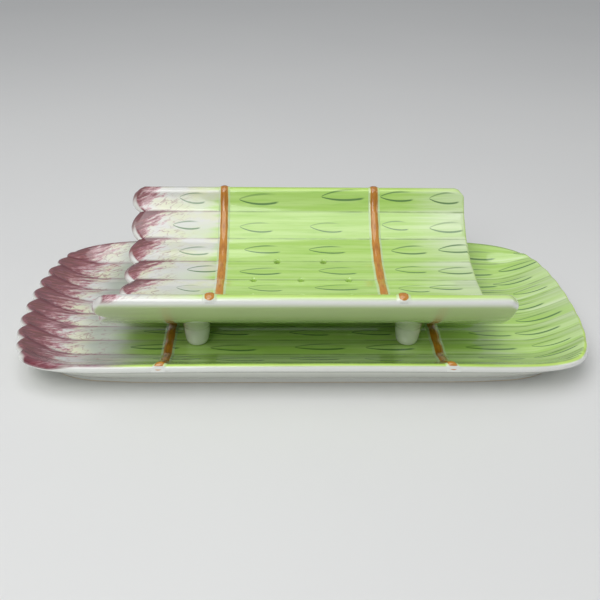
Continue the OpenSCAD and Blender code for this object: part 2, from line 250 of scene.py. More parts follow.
def closed_slab(name, along, across, layers):
    """A grid joined round its border to a copy below, so that a point's place gives its line numbers."""
    clear_selection()
    bpy.ops.mesh.primitive_grid_add(x_subdivisions=along, y_subdivisions=across, size=2)
    slab = bpy.context.object
    slab.name = slab.data.name = name
    bpy.ops.object.mode_set(mode="EDIT")
    bpy.ops.mesh.select_all(action="SELECT")
    bpy.ops.mesh.duplicate_move(TRANSFORM_OT_translate={"value": (0, 0, -layers)})
    bpy.ops.mesh.flip_normals()
    bpy.ops.mesh.select_all(action="DESELECT")
    bpy.ops.mesh.select_mode(type="EDGE")
    bpy.ops.mesh.select_non_manifold(
        extend=False, use_wire=False, use_boundary=True, use_multi_face=False,
        use_non_contiguous=False, use_verts=False,
    )
    bpy.ops.mesh.bridge_edge_loops(number_cuts=layers - 1, interpolation="LINEAR")
    bpy.ops.object.mode_set(mode="OBJECT")
    return slab


def points_of(piece):
    """The piece's points as one array."""
    points = np.empty(3 * len(piece.data.vertices), dtype=np.float32)
    piece.data.vertices.foreach_get("co", points)
    return points.reshape(-1, 3).astype(float)


def move_points(piece, points):
    """Puts the piece's points at new places."""
    piece.data.vertices.foreach_set("co", points.astype(np.float32).ravel())
    piece.data.update()


def line_numbers(slab, along, across):
    """The line along, the line across and the layer of each point of a closed slab."""
    points = points_of(slab)
    i = np.rint((points[:, 0] + 1) / 2 * along)
    j = np.rint((points[:, 1] + 1) / 2 * across)
    return i.astype(int), j.astype(int), np.rint(-points[:, 2]).astype(int)


def store(piece, name, *parts):
    """Keeps three numbers at each point for the paint to follow."""
    held = piece.data.attributes.get(name) or piece.data.attributes.new(name, "FLOAT_VECTOR", "POINT")
    values = np.column_stack([np.broadcast_to(part, len(piece.data.vertices)) for part in parts])
    held.data.foreach_set("vector", values.astype(np.float32).ravel())


def shade(piece, angle):
    """Shades the piece smooth up to an angle between faces."""
    clear_selection()
    piece.select_set(True)
    bpy.context.view_layer.objects.active = piece
    bpy.ops.object.shade_smooth_by_angle(angle=math.radians(angle))


def join(pieces):
    """Joins pieces into the first one."""
    clear_selection()
    for piece in pieces:
        piece.select_set(True)
    bpy.context.view_layer.objects.active = pieces[0]
    bpy.ops.object.join()
    return pieces[0]


def turned_piece(name, profile, sides):
    """A round piece raised from a disc, through the radius and height of each ring from its lowest up."""
    clear_selection()
    radius, height = profile[0]
    bpy.ops.mesh.primitive_circle_add(
        vertices=sides, radius=radius, fill_type="NGON", location=(0, 0, height))
    bpy.ops.object.transform_apply(location=True)
    piece = bpy.context.object
    piece.name = piece.data.name = name
    bpy.ops.object.mode_set(mode="EDIT")
    bpy.ops.mesh.select_all(action="SELECT")
    for next_radius, next_height in profile[1:]:
        bpy.ops.mesh.extrude_region_move(TRANSFORM_OT_translate={"value": (0, 0, next_height - height)})
        bpy.ops.transform.resize(value=(next_radius / radius, next_radius / radius, 1))
        radius, height = next_radius, next_height
    bpy.ops.mesh.select_all(action="SELECT")
    bpy.ops.mesh.normals_make_consistent(inside=False)
    bpy.ops.object.mode_set(mode="OBJECT")
    return piece


def finish_piece(piece, material, body, slot, *nodes):
    """Glazes a piece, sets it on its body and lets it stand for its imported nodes."""
    piece.data.materials.clear()
    piece.data.materials.append(material)
    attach(piece, body)
    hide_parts(*nodes)


def crown_of(t):
    """Height of a spear's crown, as a share of its rise, at t from -0.5 in one valley to 0.5 in the next."""
    return CROWN_SOFTNESS * np.cos(np.pi * t) ** 2 + (1 - CROWN_SOFTNESS) * (1 - (2 * t) ** 2)


def spear_of(w, spears):
    """Number of the spear at w, and the place across it, for w from -1 to 1 across all the spears."""
    place = (np.asarray(w, dtype=float) + 1) / 2 * spears
    number = np.floor(np.minimum(place, spears - 1 / spears))
    return number, place - number - 0.5


def eased(share_done):
    """A soft step from 0 to 1."""
    done = np.clip(share_done, 0, 1)
    return done * done * (3 - 2 * done)


class PlatterForm:
    """The platter's surfaces over u along the spears and w across them, both from -1 to 1."""

    def __init__(self, sizes):
        self.sizes = sizes
        self.lip = sizes.wall / 2
        self.half_l = sizes.half_length - self.lip
        self.half_w = sizes.half_width - self.lip
        self.rim = PLATTER_HIGH.z + sizes.crown
        draw = (1 - sizes.end_draw * (1 + sizes.mix_power)) * (1 - sizes.side_draw * (1 + sizes.mix_power))
        self.side_power = draw / (sizes.end_draw * sizes.side_draw * sizes.end_power)

    def crown(self, w):
        return crown_of(spear_of(w, self.sizes.spears)[1])

    def notch(self, u, w):
        """How far the notches between the tips move a point back."""
        sizes = self.sizes
        reach = np.maximum(0, (-u - 1) * self.half_l / sizes.slope_width + 1) ** 2
        between = (2 * spear_of(w, sizes.spears)[1]) ** 2
        return sizes.notch * reach * between * (1 - np.abs(w) ** sizes.mix_power)

    def plan(self, u, w, out, notch):
        """Place in plan, with the outline moved out by a distance."""
        sizes = self.sizes
        far, wide = np.abs(u), np.abs(w)
        x = (self.half_l + out) * u * (1 - sizes.end_draw * wide ** sizes.end_power * far ** sizes.mix_power)
        y = (self.half_w + out) * w * (1 - sizes.side_draw * far ** self.side_power * wide ** sizes.mix_power)
        return x + notch, y

    def top_height(self, u, w):
        sizes = self.sizes
        near_end = np.maximum(0, 1 - (1 - np.abs(u)) * self.half_l / sizes.slope_width)
        near_side = np.maximum(0, 1 - (1 - np.abs(w)) * self.half_w / sizes.slope_width)
        slope = 1 - (1 - near_end ** sizes.inner_curl) * (1 - near_side ** sizes.inner_curl)
        rise = self.rim - sizes.end_dip * np.abs(u) ** sizes.mix_power - sizes.crown - sizes.floor_height
        return sizes.floor_height + rise * slope + sizes.crown * self.crown(w)

    def top(self, u, w):
        x, y = self.plan(u, w, 0, self.notch(u, w))
        return np.stack([x, y, self.top_height(u, w)], axis=-1)

    def lip_point(self, u, w, turn):
        """A point of the rounded rim, from its inner edge at turn 0, over the top, to its lower edge at 1."""
        angle = np.pi * turn
        x, y = self.plan(u, w, self.lip * np.sin(angle), self.notch(u, w))
        z = self.top_height(u, w) - self.lip * (1 - np.cos(angle)) - self.sizes.crown * self.crown(w) * turn
        return np.stack([x, y, z], axis=-1)

    def wall_point(self, u, w, down):
        """A point of the outer wall, from the rim at down 0 to the foot ring at 1."""
        sizes = self.sizes
        inset = (sizes.ring_inset - self.lip) * down
        x, y = self.plan(u, w, -inset, self.notch(u, w) * (1 - down) ** 2)
        high = self.lip_point(u, w, 1)[..., 2]
        z = sizes.underside + (high - sizes.underside) * (1 - down) ** sizes.outer_curl
        return np.stack([x, y, z], axis=-1)


class CradleForm:
    """The trough's surfaces over x along the spears and s round its inner surface from the lowest line."""

    def __init__(self, sizes):
        self.sizes = sizes
        self.low = CRADLE_LOW.z + sizes.wall
        self.knee = sizes.base_arc / sizes.base_radius
        self.pitch = 2 * sizes.arc / (sizes.spears - 2 + 2 * sizes.rim_spear)
        self.last_valley = (sizes.spears / 2 - 1) * self.pitch
        self.rim_half = sizes.rim / 2
        self.rim_swell = sizes.rim - sizes.wall - self.crown(sizes.arc)

    def lines(self, line):
        """Distance round the trough of a numbered line, with as many lines across each spear."""
        sizes = self.sizes
        valleys = [(k - sizes.spears / 2) * self.pitch for k in range(1, sizes.spears)]
        numbers = np.arange(sizes.spears + 1) * sizes.lines_a_spear
        return np.interp(line, numbers, [-sizes.arc, *valleys, sizes.arc])

    def spears_at(self, s):
        """Place across all the spears, counting those at the rims as whole."""
        return s / self.pitch + self.sizes.spears / 2

    def lean(self, s):
        sizes, far = self.sizes, np.abs(s)
        side = self.knee + (far - sizes.base_arc) / sizes.side_radius
        return np.sign(s) * np.where(far < sizes.base_arc, far / sizes.base_radius, side)

    def section(self, s):
        """Place in the cross-section as y and z, without the crowns."""
        sizes, far, turn = self.sizes, np.abs(s), np.abs(self.lean(s))
        base, side = sizes.base_radius, sizes.side_radius
        y_side = base * np.sin(self.knee) + side * (np.sin(turn) - np.sin(self.knee))
        z_side = base * (1 - np.cos(self.knee)) + side * (np.cos(self.knee) - np.cos(turn))
        inner = far < sizes.base_arc
        y = np.where(inner, base * np.sin(turn), y_side)
        z = np.where(inner, base * (1 - np.cos(turn)), z_side)
        return np.stack([np.sign(s) * y, self.low + z], axis=-1)

    def inward(self, s):
        return np.stack([-np.sin(self.lean(s)), np.cos(self.lean(s))], axis=-1)

    def sideways(self, s):
        return np.stack([np.cos(self.lean(s)), np.sin(self.lean(s))], axis=-1)

    def spear(self, s):
        return spear_of(2 * s / self.pitch / self.sizes.spears, self.sizes.spears)

    def crown(self, s):
        return self.sizes.crown * crown_of(self.spear(s)[1])

    def swell(self, s):
        """How much fuller a rim's spear grows on its way to the rim."""
        done = (np.abs(s) - self.last_valley) / (self.sizes.arc - self.last_valley)
        return self.rim_swell * np.maximum(0, done) ** 2

    def tip_drop(self, s):
        """How far the spears' end lies behind the line of their tips."""
        sizes = self.sizes
        number, t = self.spear(s)
        rim_side = np.where(number == 0, -1, np.where(number == sizes.spears - 1, 1, 0))
        tip = rim_side * (sizes.rim_spear - 1) / 2
        side = np.where(t < tip, -1, 1)
        rolled = sizes.rim_spear - 0.5 + self.rim_half / self.pitch
        return sizes.notch * ((t - tip) / (side * np.where(side == rim_side, rolled, 0.5) - tip)) ** 2

    def place(self, x, s, raised):
        """A point of the inner surface, raised along its normal."""
        section = self.section(s) + (self.crown(s) + self.swell(s) + raised)[..., None] * self.inward(s)
        return np.column_stack([x + self.sizes.shift, section])

    def rim_point(self, side, turn, raised):
        """A point of a rounded rim in the cross-section, turn 0 at its inner edge and 1 at its outer edge."""
        s = side * self.sizes.arc
        angle = np.pi * turn
        round_by = (self.rim_half + raised)[..., None] * (
            np.cos(angle)[..., None] * self.inward(s) + side * np.sin(angle)[..., None] * self.sideways(s)
        )
        return self.section(s) + (self.rim_half - self.sizes.wall) * self.inward(s) + round_by


def platter_shell(sizes):
    """The dished platter in one skin: spears on top, the rounded rim, the outer wall and the underside."""
    form = PlatterForm(sizes)
    along, across = sizes.lines_along, sizes.spears * sizes.lines_a_spear
    layers = sizes.lip_rings + sizes.wall_rings
    shell = closed_slab("platter_shell", along, across, layers)
    i, j, k = line_numbers(shell, along, across)
    v = 2 * i / along - 1
    u = v * (1 + END_CROWDING - END_CROWDING * v * v)
    w = 2 * j / across - 1
    turn = k / sizes.lip_rings
    down = (k - sizes.lip_rings) / sizes.wall_rings
    points = form.top(u, w)
    on_lip = (k > 0) & (k <= sizes.lip_rings)
    points[on_lip] = form.lip_point(u[on_lip], w[on_lip], turn[on_lip])
    on_wall = k > sizes.lip_rings
    points[on_wall] = form.wall_point(u[on_wall], w[on_wall], down[on_wall])
    under = k == layers
    points[under, 2] = sizes.underside
    move_points(shell, points)
    store(shell, "place", points[:, 0] - form.top(np.full_like(u, -1), w)[:, 0],
          (w + 1) / 2 * sizes.spears, np.where(k <= sizes.lip_rings, turn, 1 + down))
    shade(shell, SMOOTH_UNDER)
    return shell


def cradle_shell(sizes):
    """The trough in one skin, with rounded tips, rims and cut ends."""
    form = CradleForm(sizes)
    along, across, layers = sizes.lines_along, sizes.spears * sizes.lines_a_spear, sizes.edge_rings
    shell = closed_slab("cradle_shell", along, across, layers)
    i, j, k = line_numbers(shell, along, across)
    s = form.lines(j)
    turn = k / layers
    bulge = np.sin(np.pi * turn)
    end = np.where(i == 0, -1, np.where(i == along, 1, 0))
    rim = np.where(j == 0, -1, np.where(j == across, 1, 0))
    left, right = sizes.tip_round - sizes.half_length, sizes.half_length - sizes.end_round
    x = left + (right - left) * i / along
    behind = x - left
    back_from = right - x
    drop = form.tip_drop(s + rim * form.rim_half * bulge)
    x = x + drop * np.clip(1 - behind / sizes.tip_fade, 0, 1) ** 2
    corner = np.clip((np.abs(s) - sizes.arc) / sizes.corner_round + 1, 0, 1)
    cut = sizes.corner_round * (1 - np.sqrt(1 - corner ** 2))
    x = x - cut * np.clip(1 - back_from / sizes.tip_fade, 0, 1)
    droop = sizes.tip_droop * np.clip(1 - behind / (3 * sizes.tip_round), 0, 1) ** 2
    inner = form.place(x, s, -droop)
    outer_section = form.section(s) - sizes.wall * form.inward(s)
    outer = np.column_stack([x + sizes.shift, outer_section])
    depth = ((1 - np.cos(np.pi * turn)) / 2)[:, None]
    points = inner + (outer - inner) * depth
    turned = np.where((end != 0) & (rim != 0), math.sqrt(0.5), 1)
    end_radius = np.where(end < 0, sizes.tip_round, sizes.end_round)
    points[:, 0] += end * end_radius * bulge * turned
    points[:, 1:] += (rim * form.rim_half * bulge * turned)[:, None] * form.sideways(s)
    move_points(shell, points)
    drill(shell, form)
    kept = np.column_stack([behind + sizes.tip_round, form.spears_at(s), turn])
    nearest = KDTree(len(points))
    for number, point in enumerate(points):
        nearest.insert(point, number)
    nearest.balance()
    found = [nearest.find(point)[1] for point in points_of(shell)]
    store(shell, "place", *kept[found].T)
    shade(shell, CRADLE_SMOOTH_UNDER)
    return shell


def drill(shell, form):
    """Cuts the drain holes in the valleys, each a little wider where it meets the glaze."""
    sizes = form.sizes
    places = [(k * sizes.drain_pitch, side * form.pitch / 2) for side in (-1, 1) for k in (-1, 0, 1)]
    places += [(k * sizes.drain_pitch / 2, side * form.pitch * 3 / 2) for side in (-1, 1) for k in (-1, 1)]
    radius = sizes.drain / 2
    profile = [(radius, -2 * sizes.wall)] + [(wider * radius, height) for wider, height in DRAIN_LIP]
    pins = []
    for x, s in places:
        pin = turned_piece("drain_pin", profile, DRAIN_SIDES)
        y, z = form.section(np.array(s))
        lean = Matrix.Rotation(float(form.lean(np.array(s))), 4, "X")
        pin.data.transform(Matrix.Translation((x + sizes.shift, y, z)) @ lean)
        pins.append(pin)
    cutter = join(pins)
    holes = shell.modifiers.new("drain_holes", "BOOLEAN")
    holes.operation, holes.solver, holes.object = "DIFFERENCE", "EXACT", cutter
    clear_selection()
    shell.select_set(True)
    bpy.context.view_layer.objects.active = shell
    bpy.ops.object.modifier_apply(modifier=holes.name)
    bpy.data.objects.remove(cutter, do_unlink=True)


def tie_profile(c, sizes):
    """Height of a tie at c, from -1 to 1 across its width: a round cord between two low borders."""
    half = sizes.cord / 2 + sizes.border
    cord_share = sizes.cord / 2 / half
    inside = np.clip(1 - (c / cord_share) ** 2, 0, 1)
    border = sizes.border_rise * eased((1 - np.abs(c)) / (1 - cord_share) * BORDER_RISE_RATE)
    return border + (sizes.cord_rise - sizes.border_rise) * np.sqrt(inside)


def tie_band(name, side, across, tie, press):
    """A flat band, with the place across it, the row, the way round a rim and the height of each point."""
    rows = across + 2 * TIE_WRAP
    band = closed_slab(name + ("left_band" if side < 0 else "right_band"), TIE_ROWS, rows, 1)
    i, j, k = line_numbers(band, TIE_ROWS, rows)
    c = 2 * i / TIE_ROWS - 1
    row = j - TIE_WRAP
    past = np.where(row < 0, -row, np.maximum(row - across, 0)) / TIE_WRAP
    left = np.clip(np.minimum(across + TIE_WRAP - row, row + TIE_WRAP) / TIE_THIN_ROWS, 0, 1)
    ends = np.sqrt(left * (2 - left))
    pressed = 1 - press * np.minimum(1, past / PRESS_WITHIN)
    return band, c, row, past, np.where(k == 0, tie_profile(c, tie) * ends * pressed, -EMBED)


def cord_place(c, past, tie, start, span):
    """Distance from the cord's middle in half cords, and how far round a rim the cord's end has come."""
    return np.abs(c) * (tie.cord / 2 + tie.border) / (tie.cord / 2), np.maximum(0, past - start) / span


def platter_tie(side, sizes, tie):
    """A tie that follows the platter's surface from its front rim, over the well, to its back rim."""
    form = PlatterForm(sizes)
    across = sizes.spears * sizes.lines_a_spear
    band, c, row, past, height = tie_band("platter_tie_", side, across, tie, 0)
    u = (side * sizes.tie_place + c * (tie.cord / 2 + tie.border)) / form.half_l
    w = np.clip(2 * row / across - 1, -1, 1)

    def surface(w_at, past_at):
        rim = form.lip_point(u, w_at, past_at * PLATTER_WRAP)
        return np.where((past_at > 0)[:, None], rim, form.top(u, w_at))

    def beside(way):
        """The surface a small step towards the back rim, or towards the front rim for a way of -1."""
        past_at = np.where(way * w >= 1, past + WRAP_STEP, past - WRAP_STEP).clip(0, 1)
        return surface(np.clip(w + way / across, -1, 1), past_at)

    run = beside(1) - beside(-1)
    outward = np.column_stack([np.zeros_like(c), -run[:, 2], run[:, 1]])
    outward /= np.linalg.norm(outward, axis=1)[:, None]
    move_points(band, surface(w, past) + height[:, None] * outward)
    place_x = form.top(u, w)[:, 0] - form.top(np.full_like(u, -1), w)[:, 0]
    store(band, "place", place_x, (w + 1) / 2 * sizes.spears, past * PLATTER_WRAP)
    store(band, "cord", *cord_place(c, past, tie, *PLATTER_CORD_END), (w + 1) / 2 * sizes.spears)
    return band


def cradle_tie(side, sizes, tie):
    """A tie that follows the trough from its front rim to its back rim."""
    form = CradleForm(sizes)
    across = sizes.spears * sizes.lines_a_spear
    band, c, row, past, raised = tie_band("cradle_tie_", side, across, tie, RIM_PRESS)
    x = side * sizes.tie_place + c * (tie.cord / 2 + tie.border)
    s = form.lines(row)
    points = form.place(x, s, raised)
    for rim in (-1, 1):
        on_rim = (past > 0) & (np.sign(s) == rim)
        points[on_rim, 1:] = form.rim_point(rim, past[on_rim] * CRADLE_WRAP, raised[on_rim])
    move_points(band, points)
    spears = form.spears_at(s)
    store(band, "place", x + sizes.half_length, spears, past * CRADLE_WRAP)
    store(band, "cord", *cord_place(c, past, tie, *CRADLE_CORD_END), spears)
    return band


def foot(name, side_x, side_y, sizes):
    """A thrown foot: a rounded sole, a tapered stem and a collar that flares into the trough."""
    form = CradleForm(sizes)
    stand = CRADLE_LOW.z - FOOT_LOW.z
    sole, neck, collar = sizes.foot_sole, sizes.foot_neck, sizes.foot_collar
    turns = [math.radians(degrees) for degrees in range(0, 91, 15)]
    profile = [(sole - FOOT_HEEL * (1 - math.sin(turn)), FOOT_HEEL * (1 - math.cos(turn))) for turn in turns]
    for ring in range(1, FOOT_RINGS + 1):
        height = FOOT_HEEL + (FOOT_TOP * stand - FOOT_HEEL) * ring / FOOT_RINGS
        body = sole + (neck - sole) * min(1, height / (FOOT_NECK_AT * stand)) ** 0.9
        flared = (height / stand - FOOT_FLARE_FROM) / (FOOT_TOP - FOOT_FLARE_FROM)
        flare = (collar - neck) * min(1, max(0, flared)) ** 1.3
        fold = FOLD_RISE * math.exp(-((height / stand - 1) / FOLD_WIDTH) ** 2)
        profile.append((body + flare + fold, height))
    piece = turned_piece(name, profile, FOOT_SIDES)
    points = points_of(piece)
    points += [side_x * sizes.foot_x + sizes.shift, side_y * sizes.foot_y, FOOT_LOW.z]
    table = np.linspace(-sizes.arc, sizes.arc, 400)
    outer = form.section(table) - sizes.wall * form.inward(table)
    ceiling = np.interp(points[:, 1], outer[:, 0], outer[:, 1]) + EMBED
    points[:, 2] = np.minimum(points[:, 2], ceiling)
    move_points(piece, points)
    shade(piece, SMOOTH_UNDER)
    return piece


# Paint and glaze

GLAZE_ROUGHNESS = 0.13
COAT_ROUGHNESS = 0.05
# How strongly the slow waves of the glaze show
GLAZE_WAVE = 0.1
# Half the opening of a brush mark, as a share of a spear's width
MARK_HALF_OPEN = 0.165
# How far the strokes of the brush slant across a spear for each step along it
BRUSH_SLANT = 0.4


class Wire:
    """A shader value that takes part in arithmetic: each operator adds its Math node."""

    def __init__(self, tree, socket):
        self.tree, self.socket = tree, socket

    def math(self, operation, *terms):
        return self.tree.node("Math", {"operation": operation}, dict(enumerate(terms)))

    def __add__(self, other):
        return self.math("ADD", self, other)

    __radd__ = __add__

    def __sub__(self, other):
        return self.math("SUBTRACT", self, other)

    def __rsub__(self, other):
        return self.math("SUBTRACT", other, self)

    def __mul__(self, other):
        return self.math("MULTIPLY", self, other)

    __rmul__ = __mul__

    def __truediv__(self, other):
        return self.math("DIVIDE", self, other)

    def __pow__(self, other):
        return self.math("POWER", self, other)

    def __abs__(self):
        return self.math("ABSOLUTE", self)

    def floor(self):
        return self.math("FLOOR", self)

    def at_most(self, other):
        return self.math("MINIMUM", self, other)

    def at_least(self, other):
        return self.math("MAXIMUM", self, other)


class GlazeTree:
    """The nodes of one painted and glazed finish."""

    def __init__(self, name):
        self.material = bpy.data.materials.new(name)
        self.material.use_nodes = True
        self.nodes, self.links = self.material.node_tree.nodes, self.material.node_tree.links
        self.nodes.clear()

    def node(self, kind, settings=None, inputs=None, output=0):
        """Adds a node, sets it up, feeds its sockets and gives one of its outputs."""
        made = self.nodes.new("ShaderNode" + kind)
        for name, value in (settings or {}).items():
            setattr(made, name, value)
        for key, value in (inputs or {}).items():
            if isinstance(value, Wire):
                self.links.new(value.socket, made.inputs[key])
            else:
                made.inputs[key].default_value = value
        return Wire(self, made.outputs[output]) if len(made.outputs) else None

    def step(self, value, low, high):
        """A soft step from 0 at low to 1 at high."""
        return self.node("MapRange", {"interpolation_type": "SMOOTHSTEP"}, {0: value, 1: low, 2: high})

    def mix(self, factor, under, over):
        """Lays one colour over another."""
        return self.node("Mix", {"data_type": "RGBA"}, {0: factor, 6: solid(under), 7: solid(over)}, 2)

    def point(self, x, y, z=0.0):
        return self.node("CombineXYZ", None, {0: x, 1: y, 2: z})

    def noise(self, where, scale, detail=2.0, roughness=0.5):
        return self.node("TexNoise", None, {
            "Vector": where, "Scale": scale, "Detail": detail, "Roughness": roughness,
        })

    def parts(self, name):
        """The three numbers that a mesh keeps under a name."""
        held = self.node("Attribute", {"attribute_name": name}, None, "Vector")
        return [self.node("SeparateXYZ", None, {0: held}, axis) for axis in range(3)]

    def glazed(self, base):
        """Clear gloss glaze over a colour, with the slow waves of a dipped coat."""
        where = self.node("TexCoord", None, None, "Object")
        pooled = self.noise(where, 55.0, 3.0)
        fine = self.noise(where, 420.0, 2.0)
        bump = self.node("Bump", None, {
            "Strength": GLAZE_WAVE, "Distance": 1.6 * MM, "Height": pooled * 0.85 + fine * 0.15,
        })
        shader = self.node("BsdfPrincipled", None, {
            "Base Color": solid(base), "Roughness": GLAZE_ROUGHNESS + (pooled - 0.5) * 0.08, "IOR": 1.5,
            "Coat Weight": 1.0, "Coat Roughness": COAT_ROUGHNESS, "Normal": bump,
        })
        self.node("OutputMaterial", None, {"Surface": shader})
        return self.material


def solid(value):
    """A colour as a socket takes it."""
    return value if isinstance(value, Wire) else (*value, 1.0)


def brush_mark(tree, along, t, number, pitch, start, size, seed):
    """Two thin strokes that part at a left tip and stay open at the right, once on each spear."""
    chance = tree.node(
        "TexWhiteNoise", {"noise_dimensions": "2D"}, {"Vector": tree.point(number, seed)}, "Color")
    slip, lift, stretch = (tree.node("SeparateXYZ", None, {0: chance}, axis) for axis in range(3))
    reach = size * (0.82 + stretch * 0.36)
    run = (along - (start + (slip - 0.5) * (16 * MM))) / reach
    inside = tree.step(run, 0.0, 0.03) * tree.step(run, 1.0, 0.88)
    swept = (run * 0.8).at_least(0.001).at_most(0.999)
    bow = (4 * swept * (1 - swept)) ** 0.85
    side = t * pitch - (lift - 0.5) * (3.5 * MM) - (run - 0.5) * (stretch - 0.5) * (3 * MM)
    half = pitch * MARK_HALF_OPEN
    thick = 0.22 * MM + 0.34 * MM * bow * (0.6 + 0.8 * stretch)
    upper = abs(side - bow * half * (0.75 + 0.5 * slip))
    lower = abs(side + bow * half * (1.15 - 0.4 * lift))
    stroke_up = tree.step(upper / thick, 1.6, 0.7) * tree.step(run, 0.98, 0.55) * (0.55 + 0.45 * lift)
    stroke_low = tree.step(lower / thick, 1.7, 0.7)
    return inside * stroke_up.at_least(stroke_low)


def spear_paint(tree, paint, look):
    """The hand painting of the spears, with painted highlights and shade, laid out along each spear from its
    tip.
    """
    along, spears, depth = tree.parts("place")
    number = spears.floor()
    t = spears - number - 0.5
    rolled = (spears * (2 / look["count"]) - 1) * depth * look["roll"]
    side = (spears + rolled) * look["pitch"]
    slanted = side - along * BRUSH_SLANT
    streak = tree.noise(tree.point(along * 26, side * 420), 1.0, 3.0, 0.6)
    fine_streak = tree.noise(tree.point(along * 70, slanted * 1100), 1.0, 2.0, 0.6)
    stroke = tree.noise(tree.point(along * 95, slanted * 260), 1.0, 4.0, 0.7)
    blotch = tree.noise(tree.point(along * 34, side * 60), 1.0, 3.0, 0.6)
    wash = tree.noise(tree.point(along * 9, side * 190), 1.0, 3.0, 0.55)

    shoulder = tree.mix(tree.step(blotch, 0.38, 0.62), paint.shoulder_white, paint.cream)
    front_side = tree.step(t, 0.25, -0.4)
    warm = front_side * tree.step(along, look["plum"] * 0.9, look["green"])
    shoulder = tree.mix(warm * look["warm"], shoulder, paint.green_pale)
    # Grey wash after the plum: strong on the platter, where it is partly painted shade near the cradle's
    # tips, faint on the cradle
    grey_wash_and_shade = tree.step(along, look["plum"] * 0.95, look["plum"] * 1.5) * look["grey_wash_and_shade"]
    shoulder = tree.mix(grey_wash_and_shade, shoulder, paint.shade)

    green = tree.mix(tree.step(wash, 0.34, 0.64), paint.green, paint.green_pale)
    green = tree.mix(tree.step(streak, 0.5, 0.74) * 0.55, green, paint.green_deep)
    edge = look["green"] + (wash - 0.5) * 0.03 - front_side * 0.006
    coat = tree.mix(tree.step(along - edge, -look["blend"], look["blend"]), shoulder, green)

    far = tree.step(along + (wash - 0.5) * 0.05, look["pale_from"], look["pale_to"])
    coat = tree.mix(far * look["pale"] * (0.55 + 0.45 * t), coat, paint.pale_end)
    # Painted highlight: pale strokes along each spear's front side towards its cut end
    lit = tree.step(t, -0.26, -0.42) * tree.step(along, look["green"] * 2.4, look["pale_to"])
    coat = tree.mix(lit * tree.step(wash, 0.45, 0.62) * 0.55, coat, paint.painted_highlight)

    valley_line = tree.step(abs(t), 0.5 - 1.1 * MM / look["pitch"], 0.5 - 0.1 * MM / look["pitch"])
    valley_colour = tree.mix(
        tree.step(along, look["green"] * 0.8, look["green"] * 1.2), paint.valley_tip, paint.valley)
    broken = 0.25 + 0.45 * tree.step(blotch, 0.4, 0.6)
    coat = tree.mix(valley_line * broken, coat, valley_colour)

    reach = look["plum"] * (1 + look["lean"] * t)
    strokes = (reach - along) / (look["plum"] * 0.5) + (stroke - 0.5) * 4.4 + (fine_streak - 0.5) * 1.6
    thin = tree.step(strokes, 0.0, 0.7)
    full = tree.step(strokes, 0.4, 1.3)
    deep = tree.step(strokes + (fine_streak - 0.5) * 3.2 + t * look["lean"] * 1.2, 0.8, 2.1)
    bare_to = look["bare"] * (0.75 - t * look["bare_lean"])
    bare = tree.step(along + (blotch - 0.5) * (4 * MM) - bare_to, 1.6 * MM, -0.8 * MM)
    plum = tree.mix(full, paint.pink, paint.plum)
    plum = tree.mix(deep * 0.85, plum, paint.plum_dark)
    coat = tree.mix(thin * 0.92, coat, plum)
    worm = tree.noise(tree.point(along * 75, slanted * 210, 3.0), 1.0, 2.0, 0.55)
    vein = tree.step(abs(worm - 0.5), 0.03, 0.004) * tree.step(along, look["plum"] * 2.4, look["plum"] * 1.1)
    coat = tree.mix(vein * tree.step(blotch, 0.36, 0.56) * 0.6, coat, paint.vein)
    # Painted shade: dark plum deepening the valleys between the tips
    tip_valley_shade = tree.step(abs(t), 0.5 - 2.6 * MM / look["pitch"], 0.5)
    tip_valley_shade = tip_valley_shade * tree.step(along, look["plum"] * 1.7, look["plum"])
    coat = tree.mix(tip_valley_shade * look["tip_valley_shade"], coat, paint.plum_dark)
    coat = tree.mix(bare, coat, paint.white)

    marks = None
    for seed, (start, size) in enumerate(look["marks"]):
        mark = brush_mark(tree, along, t + rolled, number, look["pitch"], start * MM, size * MM, float(seed))
        marks = mark if marks is None else marks.at_least(mark)
    coat = tree.mix(marks * 0.85, coat, paint.mark)

    at_tips = tree.step(along, look["plum"], look["plum"] * 0.4)
    lip_edge = look["lip"] + (wash - 0.5) * 0.12 + at_tips * look["tip_lip"]
    # Green pooled along the painted part of the rim's lip, brightened as a painted highlight of the rounded
    # rim
    pool_and_highlight = tree.step(depth, 0.02, 0.10) * tree.step(depth, lip_edge + 0.06, lip_edge - 0.04)
    pool_and_highlight = pool_and_highlight * tree.step(along, look["green"] * 0.6, look["green"])
    coat = tree.mix(pool_and_highlight * look["pool_and_highlight"], coat, paint.rim_pool_and_highlight)
    unpainted = tree.step(depth, lip_edge - look["soft"], lip_edge + look["soft"])
    # Painted reflection and shade: below the rim the white glaze turns darker green, fully under the cradle,
    # which faces the platter, and faintly on the platter's outer wall
    below = tree.mix(tree.step(depth, 0.7, 1.04) * look["under"], paint.white, paint.underside)
    return tree.mix(unpainted, coat, below)


